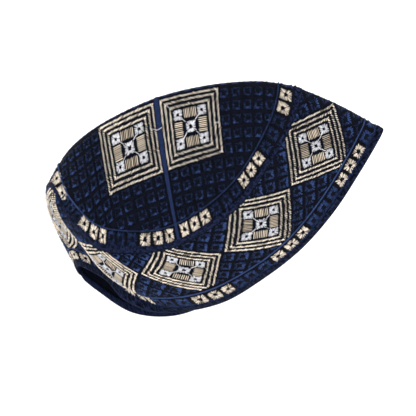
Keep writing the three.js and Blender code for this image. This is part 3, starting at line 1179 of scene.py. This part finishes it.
@dataclass
class Motif:
    """Embroidered square of nested gold lines round nine small squares, drawn about its own centre."""

    half: float = 20.5
    lines: Tuple[float, ...] = (19.7, 16.75, 13.55)
    line_wide: float = 1.52
    line_step: float = 1.25
    line_uneven: float = 0.2
    gaps: Tuple[float, ...] = (18.2, 15.15, 12.1)
    gap_wide: float = 1.1
    gap_step: float = 1.2
    cell: float = 8.45
    # white squares at the corners and in the middle: half side, hole and pinch
    corner: Tuple[float, float, float] = (3.3, 0.75, 0.05)
    middle: Tuple[float, float, float] = (3.75, 0.95, 0.1)
    rays: int = 24
    link: Tuple[float, float] = (3.2, 5.9)
    fill: Tuple[float, float] = (3.35, 4.35)
    fill_margin: float = 0.35
    fill_count: int = 8
    fill_uneven: Tuple[float, float] = (0.06, 0.12)
    gold: Stitch = Stitch(0.6, 0.75, 0.75)
    black: Stitch = Stitch(1.1, 0.22, 0.22)
    tan: Stitch = Stitch(0.66, 0.55, 0.55)
    white: Stitch = Stitch(0.72, 0.65, 0.25)
    fine: Stitch = Stitch(0.5, 0.35, 0.35, 0.1)
    gold_shades: Tuple[float, float] = (0.3, 1.6)
    # lightness of the tan squares above and below the middle, then beside it: painted light and shade
    # that differ with the way their stitches are laid
    tan_painted_light: Tuple[float, float] = (0.42, 0.78)
    white_shade: float = 0.46
    # painted shade: how much darker every thread of the motif is made where it lies on the band
    painted_dimming: float = 0.0

    def frame_line(
        self, rng: np.random.Generator, at: float, wide: float, step: float, slant: float
    ) -> Ends:
        """Return stitches across one nested line, round its four sides.

        Args:
            rng: source of small unevenness.
            at: distance of the line from the motif's centre.
            wide: width of the line.
            step: distance from stitch to stitch.
            slant: how far the stitches lean, as a share of the width.

        Returns:
            First and last points of the stitches.
        """
        count = int(2 * at / step)
        t = np.linspace(-at, at, count)
        inner, outer = at - wide / 2, at + wide / 2
        starts, ends = [], []
        for k in range(4):
            uneven = self.line_uneven * rng.standard_normal((2, count))
            a = np.stack([np.clip(t - slant * wide / 2, -inner, inner), inner + uneven[0]], -1)
            b = np.stack([np.clip(t + slant * wide / 2, -outer, outer), outer + uneven[1]], -1)
            c, d = math.cos(k * math.pi / 2), math.sin(k * math.pi / 2)
            turn = np.array([[c, d], [-d, c]])
            starts.append(a @ turn)
            ends.append(b @ turn)
        return np.concatenate(starts), np.concatenate(ends)

    def hatch(self, rng: np.random.Generator, centre: Rows) -> Ends:
        """Return close stitches that run toward the motif's middle and fill one small square.

        Args:
            rng: source of small unevenness.
            centre: centre of the small square.

        Returns:
            First and last points of the stitches.
        """
        short, long = self.fill
        t = np.linspace(-long + self.fill_margin, long - self.fill_margin, self.fill_count)
        t = t + self.fill_uneven[0] * rng.standard_normal(self.fill_count)
        reach = short + self.fill_uneven[1] * rng.standard_normal((2, self.fill_count))
        a, b = np.stack([-reach[0], t], -1), np.stack([reach[1], t + self.fill_margin], -1)
        if abs(centre[0]) < abs(centre[1]):
            a, b = a[:, ::-1], b[:, ::-1]
        return a + centre, b + centre

    def sew(self, book: StitchBook, to_flat: Carry) -> None:
        """Add the motif's stitches.

        Args:
            book: where the stitches are kept.
            to_flat: carries points about the motif's centre to the flat pattern.
        """
        rng = book.rng

        def put(thread: Thread, ends: Ends, stitch: Stitch, shade: Shade = 0.5) -> None:
            """Carry stitches to the pattern and keep them."""
            book.add(thread, (to_flat(ends[0]), to_flat(ends[1])), stitch, shade)

        for at in self.lines:
            ends = self.frame_line(rng, at, self.line_wide, self.line_step, 1.0)
            put(Thread.GOLD, ends, self.gold, rng.uniform(*self.gold_shades, len(ends[0])) - self.painted_dimming)
        for at in self.gaps:
            put(Thread.BLACK, self.frame_line(rng, at, self.gap_wide, self.gap_step, 0.0), self.black)
        for i in (-1, 0, 1):
            for j in (-1, 0, 1):
                centre = np.array([i, j]) * self.cell
                if (i + j) % 2:
                    shade = self.tan_painted_light[abs(i)] - self.painted_dimming
                    put(Thread.TAN, self.hatch(rng, centre), self.tan, shade)
                    continue
                half, hole, pinch = self.corner if i else self.middle
                a, b = ray_square(rng, (half, half), self.rays, hole, pinch)
                put(Thread.WHITE, (a + centre, b + centre), self.white, self.white_shade - self.painted_dimming)
        for sx in (-1, 1):
            for sy in (-1, 1):
                corner = np.array([[sx, sy]], float)
                put(Thread.WHITE, (corner * self.link[0], corner * self.link[1]), self.fine)


@dataclass
class Eyelet:
    """Small square of the ground: blue stitches that slope into a wide hole, with a painted glint on one
    side.
    """

    half: float = 3.2
    hole: float = 1.45
    pinch: float = 0.04
    rays: int = 22
    swing: float = 0.35
    blue: Stitch = Stitch(0.75, 0.8, 0.1)
    # lightness of the rays: a painted unlit shade, a painted glint on the lit side, how narrow it is,
    # and painted streaks on the rays at the sides
    painted_unlit_shade: float = 0.0
    painted_glint: float = 0.85
    painted_glint_focus: float = 5.0
    painted_streak: float = 0.24
    painted_streak_power: int = 6
    # how much the size, the painted glint and the painted streaks change from eyelet to eyelet
    sizes: Tuple[float, float] = (0.94, 1.06)
    painted_glint_spread: Tuple[float, float] = (0.5, 1.3)
    painted_streak_spread: Tuple[float, float] = (0.0, 1.4)

    def sew(
        self, book: StitchBook, to_flat: Carry, toward: Tuple[float, float], flatten: float = 1.0
    ) -> None:
        """Add the eyelet's stitches.

        Args:
            book: where the stitches are kept.
            to_flat: carries points about the eyelet's centre to the flat pattern.
            toward: side of the eyelet that gets the painted glint.
            flatten: share of the usual height.
        """
        rng = book.rng
        size = self.half * rng.uniform(*self.sizes, 2)
        a, b = ray_square(rng, (size[0], size[1]), self.rays, self.hole, self.pinch)
        swing = self.swing * rng.standard_normal()
        c, d = math.cos(swing), math.sin(swing)
        # painted light: rays pointing to the lit side are painted lighter as a glint, rays at the sides
        # as streaks
        light = np.array([toward[0] * c - toward[1] * d, toward[0] * d + toward[1] * c])
        painted_glint_mask = np.maximum(unit(b) @ light, 0.0) ** self.painted_glint_focus
        aside = np.abs(unit(b) @ np.array([toward[1], -toward[0]])) ** self.painted_streak_power
        shade = self.painted_unlit_shade + self.painted_glint * rng.uniform(*self.painted_glint_spread) * painted_glint_mask
        shade = shade + self.painted_streak * rng.uniform(*self.painted_streak_spread, self.rays) * aside
        book.add(Thread.BLUE, (to_flat(a), to_flat(b)), self.blue.flatter(flatten), shade)


@dataclass
class BorderSquare:
    """One square of the border rows, with a dark bar beside it."""

    half: Tuple[float, float] = (3.9, 4.1)
    step: float = 9.667
    # lightness of the blue squares, lower on the crown than on the band as painted shade
    blue_shade: float = 0.3
    gold_shade: float = 0.6
    rays: int = 26
    slits: float = 0.16
    # hole and stitches of each thread
    gold: Tuple[float, Stitch] = (1.15, Stitch(0.74, 0.75, 0.3))
    blue: Tuple[float, Stitch] = (1.3, Stitch(0.74, 0.75, 0.1))
    bar: Stitch = Stitch(0.8, 0.5, 0.5)
    bar_lines: Tuple[float, ...] = (-0.6, 0.0, 0.6)
    bar_over: float = 0.3

    def sew(self, book: StitchBook, to_flat: Carry, thread: Thread, stretch: float = 1.0) -> None:
        """Add the square's stitches and its bar.

        Args:
            book: where the stitches are kept.
            to_flat: carries points about the square's centre to the flat pattern.
            thread: gold or blue.
            stretch: how much larger than usual the square is sewn.
        """
        hole, stitch = self.gold if thread is Thread.GOLD else self.blue
        rays = round(self.rays * stretch)
        a, b = ray_square(book.rng, self.half, rays, hole / stretch, 0.0)
        slit = book.rng.uniform(0, 1, rays) < self.slits
        # painted light and shade: blue rays are lighter on one side of the square and darker on the
        # other
        shade = self.blue_shade * (1 - 0.5 * unit(b)[:, 1])
        if thread is Thread.GOLD:
            shade = np.where(slit, 0.0, self.gold_shade)
        book.add(thread, (to_flat(a), to_flat(b)), stitch, shade)
        x = self.step / 2 + np.array(self.bar_lines)
        tip = np.full(len(x), self.half[1] + self.bar_over)
        ends = (to_flat(np.stack([x, -tip], -1)), to_flat(np.stack([x, tip], -1)))
        book.add(Thread.BLACK, ends, self.bar)


@dataclass
class BandEmbroidery:
    """Ten diamonds on a ground of eyelets, over a corded line and a row of border squares."""

    seed: int = 11
    field_seed: int = 21
    centre: float = 25.9
    motif_scale: Tuple[float, float] = (0.962, 1.04)
    # how far down the diamonds are sewn, and how much less at the middle of the near flank
    foot: float = 51.9
    short: Bulge = Bulge(1.8, 2.5, 0.4)
    border: float = 59.4
    border_turn: int = 6
    border_gold: Tuple[int, ...] = (2, 3, 4)
    # corded lines: drop, stitch and shade
    cords: Tuple[Tuple[float, Stitch, float], ...] = (
        (53.1, Stitch(0.95, 0.75, 0.75), 0.8), (63.0, Stitch(0.6, 0.7, 0.7), 0.25),
    )
    cord_step: float = 1.25
    cord_way: Tuple[float, float] = (2.7, 0.7)
    eyelet_step: Tuple[float, float] = (6.3, 6.3)
    eyelet_start: float = 6.5
    eyelet_rows: int = 4
    eyelet_scale: Tuple[float, float] = (0.98, 1.03)
    # side of the band's eyelets that gets the painted glint
    light: Tuple[float, float] = (0.0, 1.0)
    crease_flatten: float = 0.4
    # the band's motif is painted darker, painted shade
    motif: Motif = field(default_factory=lambda: Motif(line_wide=1.36, painted_dimming=0.09))
    # painted light: the band's eyelets have a lighter painted unlit shade than the crown's
    eyelet: Eyelet = field(
        default_factory=lambda: Eyelet(half=3.6, hole=1.5, painted_unlit_shade=0.14, painted_glint=0.86, painted_glint_focus=1.6, painted_streak=0.28)
    )
    square: BorderSquare = field(default_factory=lambda: BorderSquare(blue_shade=0.46))

    def __post_init__(self) -> None:
        """Open the band's book of stitches."""
        self.book = StitchBook("band", FORM.band, FORM.band_normal, self.seed)

    def on_point(self, arc: float, drop: float, scale: Tuple[float, float]) -> Carry:
        """Return the step that stands a square on its point at a place of the band.

        Args:
            arc: millimetres round the band from the front crease.
            drop: millimetres below the crown seam.
            scale: stretch round the band and down it.

        Returns:
            Function that carries points about the square's centre to the flat pattern.
        """
        def to_flat(p: Rows) -> Rows:
            """Turn points by an eighth and stretch them.

            Args:
                p: points about the square's centre.

            Returns:
                Points of the flat pattern.
            """
            x = (p[..., 0] - p[..., 1]) / math.sqrt(2)
            y = (p[..., 0] + p[..., 1]) / math.sqrt(2)
            return np.stack([arc + x * scale[0], drop + y * scale[1]], -1)

        return to_flat

    def field_of_diamonds(self) -> None:
        """Sew the diamonds and the eyelets between them, cut off at the welt and at the corded line."""
        book = StitchBook("field", FORM.band, FORM.band_normal, self.field_seed)
        for k in range(int(FORM.diamonds)):
            self.motif.sew(book, self.on_point((k + 0.5) * FORM.pitch, self.centre, self.motif_scale))
            for n in range(self.eyelet_rows):
                for m in range(-n, n + 1, 2):
                    for way in (-1, 1):
                        arc = k * FORM.pitch + m * self.eyelet_step[0]
                        drop = self.centre + way * (self.eyelet_start + n * self.eyelet_step[1])
                        flatten = 1.0 if arc else self.crease_flatten
                        to_flat = self.on_point(arc, drop, self.eyelet_scale)
                        self.eyelet.sew(book, to_flat, self.light, flatten)
        book.trim(lambda arc: FORM.welt_edge(arc / FORM.pitch % FORM.diamonds), self.lower_edge)
        self.book.take(book)

    def lower_edge(self, arc: Rows) -> Rows:
        """Return how far down the diamonds are sewn at places round the band."""
        return self.foot - self.short.at(arc / FORM.pitch)

    def borders(self) -> None:
        """Sew the border squares."""
        for m in range(int(FORM.diamonds) * self.border_turn):
            thread = Thread.GOLD if m % self.border_turn in self.border_gold else Thread.BLUE
            centre = np.array([m * self.square.step, self.border])
            self.square.sew(self.book, lambda p, centre=centre: p + centre, thread)

    def cord_line(self) -> None:
        """Sew the corded line above the border and the fine line along the binding."""
        arc = np.arange(0, FORM.pitch * FORM.diamonds, self.cord_step)
        for drop, stitch, shade in self.cords:
            a = np.stack([arc, np.full(len(arc), drop - self.cord_way[1] / 2)], -1)
            self.book.add(Thread.CORD, (a, a + np.array(self.cord_way)), stitch, shade)

    def build(self, materials: Dict[Thread, bpy.types.Material]) -> List[bpy.types.Object]:
        """Sew everything on the band.

        Args:
            materials: finish of each thread.

        Returns:
            The finished pieces.
        """
        self.field_of_diamonds()
        self.borders()
        self.cord_line()
        return self.book.sew_all(materials)


@dataclass
class CrownEmbroidery:
    """Four squares on a ground of eyelets, inside a corded line and a ring of border squares."""

    seed: int = 12
    along: Tuple[float, float] = (2.3, 44.7)
    side: Tuple[float, float] = (4.3, 47.8)
    corner_draw: float = 2.2
    # eyelets: steps before, behind and below the squares, room on the ridge and usual step
    front_step: float = 7.7
    back_step: float = 8.3
    low_step: float = 7.6
    ridge_step: float = 6.6
    usual_step: float = 8.4
    across: int = 5
    beyond: int = 6
    ridge_flatten: float = 0.45
    # room to the corded line below which eyelets are drawn in, how small they get, and least room
    clear: float = 3.0
    smallest: float = 0.6
    least_room: float = 0.3
    # depth inside the seam, its change toward the front and toward both ends, and share less at the back
    line_inset: Tuple[float, float, float, float] = (9.4, 2.0, 0.7, 0.06)
    border_inset: Tuple[float, float, float, float] = (4.4, 1.2, 1.2, 0.2)
    border_points: int = 400
    border_first: float = 7.0
    border_count: int = 15
    border_turn: int = 6
    border_gold: int = 3
    plain_end: float = 9.0
    wide_square: float = 1.25
    # squares behind the tape: how many are even, how many are close, and the close and wide steps
    back_even: int = 9
    back_close: int = 4
    back_steps: Tuple[float, float] = (6.5, 13.7)
    # middle and reach, in degrees from the front, of the part of the back that curves down
    back_turn: Tuple[float, float] = (158.0, 40.0)
    cord: Stitch = Stitch(0.95, 0.95, 0.95)
    cord_count: int = 430
    cord_lean: float = 2.1
    cord_half: float = 0.35
    # lightness of the corded line, and how much lighter it is painted where the back curves down, a
    # painted highlight
    cord_painted_light: Tuple[float, float] = (0.2, 0.75)
    loose: Stitch = Stitch(0.4, 0.3, 0.3, 0.6)
    motif: Motif = field(default_factory=Motif)
    eyelet: Eyelet = field(default_factory=Eyelet)
    square: BorderSquare = field(default_factory=lambda: BorderSquare((3.85, 3.95), 9.36, 0.16))

    def __post_init__(self) -> None:
        """Open the crown's book of stitches."""
        self.book = StitchBook("crown", FORM.crown, FORM.crown_normal, self.seed)

    def ring(self, turn: Rows, inset: Tuple[float, float, float, float]) -> Rows:
        """Return points of the flat pattern on a ring inside the seam.

        Args:
            turn: angles round the oval from the front, in radians.
            inset: depth at the sides, its change toward the front and toward both ends, and how much
                less it is, as a share, where the back curves down.

        Returns:
            Points of the ring.
        """
        turn = np.asarray(turn, float)
        c = np.cos(turn)
        depth = (inset[0] + inset[1] * c + inset[2] * c * c) * (1 - inset[3] * self.back(turn))
        return np.stack([(FORM.crown_long - depth) * c, (FORM.crown_wide - depth) * np.sin(turn)], -1)

    def back(self, turn: Rows) -> Rows:
        """Return one where the back of the crown curves down, and less away from there."""
        return bump(np.degrees(np.arccos(np.cos(turn))), *self.back_turn, 360.0)

    def squares(self) -> None:
        """Sew the four large squares."""
        middle = np.array([sum(self.along) / 2, sum(self.side) / 2])
        size = np.array([self.along[1] - self.along[0], self.side[1] - self.side[0]])
        scale = size / (2 * self.motif.half)
        for front in (-1, 1):
            for near in (-1, 1):
                flip = np.array([front, near])
                draw = np.array([0.0, self.corner_draw if front > 0 else 0.0])

                def to_flat(p: Rows, f: Rows = flip, d: Rows = draw) -> Rows:
                    """Carry points to the flat pattern, with the square's low corner drawn up."""
                    corner = np.prod((p / self.motif.half + 1) / 2, axis=-1, keepdims=True) ** 2
                    return (middle + p * scale - d * corner) * f

                self.motif.sew(self.book, to_flat)

    def ground(self) -> None:
        """Sew the eyelets of the ground."""
        wide = (self.along[1] - self.along[0]) / self.across
        tall = (self.side[1] - self.side[0]) / self.across
        inner = np.arange(self.across) + 0.5
        outer = np.arange(self.beyond) + 0.5
        middle = self.along[0] + wide * inner
        columns = [(x, wide) for x in np.concatenate([middle, -middle])]
        columns += [(self.along[1] + self.front_step * i, self.front_step) for i in outer]
        columns += [(-self.along[1] - self.back_step * i, self.back_step) for i in outer]
        rows = [(0.0, self.ridge_step)] + [(self.side[0] + tall * j, tall) for j in inner]
        rows += [(self.side[1] + self.low_step * j, self.low_step) for j in inner]
        rows += [(-y, high) for y, high in rows[1:]]
        for x, width in columns:
            for y, height in rows:
                if abs(x) < self.along[1] and self.side[0] < abs(y) < self.side[1]:
                    continue
                turn = math.atan2(y / FORM.crown_wide, x / FORM.crown_long)
                room = math.hypot(*self.ring(turn, self.line_inset)) - math.hypot(x, y)
                if room < self.least_room:
                    continue
                scale = np.array([width, height]) / self.usual_step
                centre = np.array([x, y])
                if room < self.clear:
                    centre = centre * (1 - self.smallest * (self.clear - room) / math.hypot(x, y))
                    scale = scale * (self.smallest + (1 - self.smallest) * room / self.clear)
                flatten = 1.0 if y else self.ridge_flatten
                # side of the eyelet that gets the painted glint: toward the seam on each half
                near = (0.0, 1.0 if y >= 0 else -1.0)
                self.eyelet.sew(self.book, lambda p, c=centre, k=scale: c + p * k, near, flatten)

    def borders(self) -> None:
        """Sew the ring of border squares along its length from the tape."""
        for front in (1, -1):
            turn = np.linspace(np.pi / 2, 0.0, self.border_points)
            turn = turn if front > 0 else np.pi - turn
            line = self.ring(turn, self.border_inset)
            length = np.concatenate([[0.0], np.cumsum(np.linalg.norm(np.diff(line, axis=0), axis=1))])
            places = self.border_places(front, length[-1])
            for near in (1, -1):
                for k, (at, wide) in enumerate(places if near > 0 else places[:-1]):
                    centre, ahead = (
                        np.array([np.interp(at + d, length, line[:, c]) for c in (0, 1)]) for d in (0, 1)
                    )
                    if k == len(places) - 1:
                        ahead = centre + np.array([0.0, -1.0])
                    way = (ahead - centre) / np.linalg.norm(ahead - centre)
                    stretch = wide / self.square.step
                    taller = self.wide_square if stretch > self.wide_square else 1.0
                    axes = np.stack([way * stretch, np.array([way[1], -way[0]]) * taller])
                    flip = np.array([1.0, near])

                    def to_flat(p: Rows, c: Rows = centre, w: Rows = axes, f: Rows = flip) -> Rows:
                        """Carry points about the square's centre to the flat pattern."""
                        return (c + p[..., :1] * w[0] + p[..., 1:] * w[1]) * f

                    gold = k % self.border_turn < self.border_gold and at < length[-1] - self.plain_end
                    thread = Thread.GOLD if gold else Thread.BLUE
                    self.square.sew(self.book, to_flat, thread, max(stretch, 1.0))

    def border_places(self, front: int, length: float) -> List[Tuple[float, float]]:
        """Return the distance of each border square from the tape, and its room along the ring.

        Args:
            front: 1 before the tape, where the squares are even, and -1 behind it.
            length: length of this quarter of the ring.

        Returns:
            Distance and room for each square, the last one at the end of the quarter.
        """
        step = (length - self.border_first) / (self.border_count - 1)
        if front > 0:
            return [(self.border_first + step * k, step) for k in range(self.border_count)]
        places = [(self.border_first + step * k, step) for k in range(self.back_even)]
        close, wide = self.back_steps
        for k in range(self.back_close):
            places.append((places[-1][0] + close, close if k < self.back_close - 1 else wide))
        while places[-1][0] + 1.5 * wide < length:
            places.append((places[-1][0] + wide, wide))
        return places + [(length, close)]

    def cord_line(self) -> None:
        """Sew the corded line inside the border, painted lighter where the back curves down."""
        turn = np.linspace(0, 2 * np.pi, self.cord_count, endpoint=False)
        step = turn[1] - turn[0]
        deep, *rest = self.line_inset
        a = self.ring(turn, (deep + self.cord_half, *rest))
        b = self.ring(turn + self.cord_lean * step, (deep - self.cord_half, *rest))
        # painted highlight on the corded line where the back curves down
        shade = self.cord_painted_light[0] + self.cord_painted_light[1] * self.back(turn)
        self.book.add(Thread.CORD, (a, b), self.cord, shade)

    def loose_threads(self) -> None:
        """Sew the few long white stitches that cross the tape and a square's edge."""
        a = np.array([[2.6, 21.5], [-1.0, 22.7], [44.5, 27.0], [5.0, 7.0]])
        b = np.array([[-1.5, 22.6], [-7.5, 19.6], [39.5, 26.6], [11.5, 13.6]])
        self.book.add(Thread.WHITE, (a, b), self.loose)

    def build(self, materials: Dict[Thread, bpy.types.Material]) -> List[bpy.types.Object]:
        """Sew everything on the crown.

        Args:
            materials: finish of each thread.

        Returns:
            The finished pieces.
        """
        self.squares()
        self.ground()
        self.borders()
        self.cord_line()
        self.loose_threads()
        return self.book.sew_all(materials)


@dataclass
class Studio:
    """Pale floor, soft light from above and the camera that looks straight down."""

    camera_height: float = 0.7
    focal_px: float = 1000.0
    image_px: float = 416.0
    sensor_mm: float = 36.0
    floor_size: float = 6.0
    floor_shade: float = 0.92
    floor_glow: float = 0.3
    floor_roughness: float = 0.9
    floor_specular: float = 0.1
    surroundings: float = 0.55
    # name, place in metres, size in metres and watts of each light
    lamps: Tuple[Tuple[str, Tuple[float, float, float], float, float], ...] = (
        ("key_light", (0.55, 0.45, 1.6), 0.9, 30.0),
        ("fill_light", (0.5, -0.9, 1.2), 1.2, 8.5),
        ("back_light", (-1.0, -0.5, 0.7), 1.0, 9.0),
    )

    def floor(self) -> None:
        """Lay the floor."""
        bpy.ops.object.select_all(action="DESELECT")
        bpy.ops.mesh.primitive_plane_add(size=self.floor_size, location=(0, 0, 0))
        obj = bpy.context.active_object
        obj.name = "floor"
        nodes = Nodes("pale_floor")
        nodes.shader.inputs["Base Color"].default_value = (*[self.floor_shade] * 3, 1.0)
        nodes.shader.inputs["Emission Color"].default_value = (1.0, 1.0, 1.0, 1.0)
        nodes.shader.inputs["Emission Strength"].default_value = self.floor_glow
        nodes.finish(self.floor_roughness, self.floor_specular, (1.0, 1.0, 1.0))
        obj.data.materials.append(nodes.material)

    def lamp(self, name: str, place: Tuple[float, float, float], size: float, watts: float) -> None:
        """Hang one square soft light that faces the cap.

        Args:
            name: name of the light.
            place: where it hangs, in metres.
            size: length of its side, in metres.
            watts: its power.
        """
        data = bpy.data.lights.new(name, "AREA")
        data.shape = "SQUARE"
        data.size = size
        data.energy = watts
        obj = bpy.data.objects.new(name, data)
        bpy.context.scene.collection.objects.link(obj)
        obj.location = place
        lean = math.atan2(math.hypot(place[0], place[1]), place[2])
        obj.rotation_euler = (lean, 0.0, math.atan2(place[0], -place[1]))

    def light(self) -> None:
        """Set the lights and the pale surroundings."""
        for row in self.lamps:
            self.lamp(*row)
        world = bpy.data.worlds.new("studio")
        world.use_nodes = True
        shade = world.node_tree.nodes["Background"]
        shade.inputs["Color"].default_value = (1.0, 1.0, 1.0, 1.0)
        shade.inputs["Strength"].default_value = self.surroundings
        bpy.context.scene.world = world
        bpy.context.scene.view_settings.view_transform = "Standard"

    def camera(self) -> None:
        """Place the camera above the cap."""
        data = bpy.data.cameras.new("photo_camera")
        data.sensor_width = self.sensor_mm
        data.lens = self.sensor_mm * self.focal_px / self.image_px
        data.clip_start = 0.01
        obj = bpy.data.objects.new("photo_camera", data)
        bpy.context.scene.collection.objects.link(obj)
        obj.location = (-FORM.middle[0] * MM, -FORM.middle[1] * MM, self.camera_height)
        bpy.context.scene.camera = obj

    def build(self) -> None:
        """Set up the studio."""
        self.floor()
        self.light()
        self.camera()


def main() -> None:
    """Build the cap's pieces in order and report each one."""
    logging.basicConfig(level=logging.INFO, format="%(message)s")
    Studio().build()
    ground = GroundFinish().material()
    # painted light and shade: the welt's tape is lighter along its rounded middle, and the binding is
    # darker in its crease and lighter along its folded edges
    tape = TapeFinish(
        "navy_tape", across=(-1.2, 4.2), painted_shading=((0.2, 0.4), (0.55, 0.6), (1.0, 0.35))
    ).material()
    edging = TapeFinish(
        "rim_navy_tape", across=(10.0, 20.0),
        painted_shading=((0.0, 0.75), (0.3, 0.55), (0.42, 0.2), (0.55, 0.35), (0.68, 0.8), (0.85, 0.6)),
    ).material()
    stripe = TapeFinish(
        "crown_stripe", (0.0068, 0.0115, 0.033), (0.0185, 0.030, 0.090), speckle=1.5
    ).material()
    threads = {finish.thread: finish.material() for finish in THREADS}
    pieces = Crown(ground, stripe).build()
    pieces += Band(ground, tape, edging).build()
    pieces += CrownEmbroidery().build(threads)
    pieces += BandEmbroidery().build(threads)
    for piece in pieces:
        LOG.info("%s: %d faces", piece.name, len(piece.data.polygons))


if __name__ == "__main__":
    main()
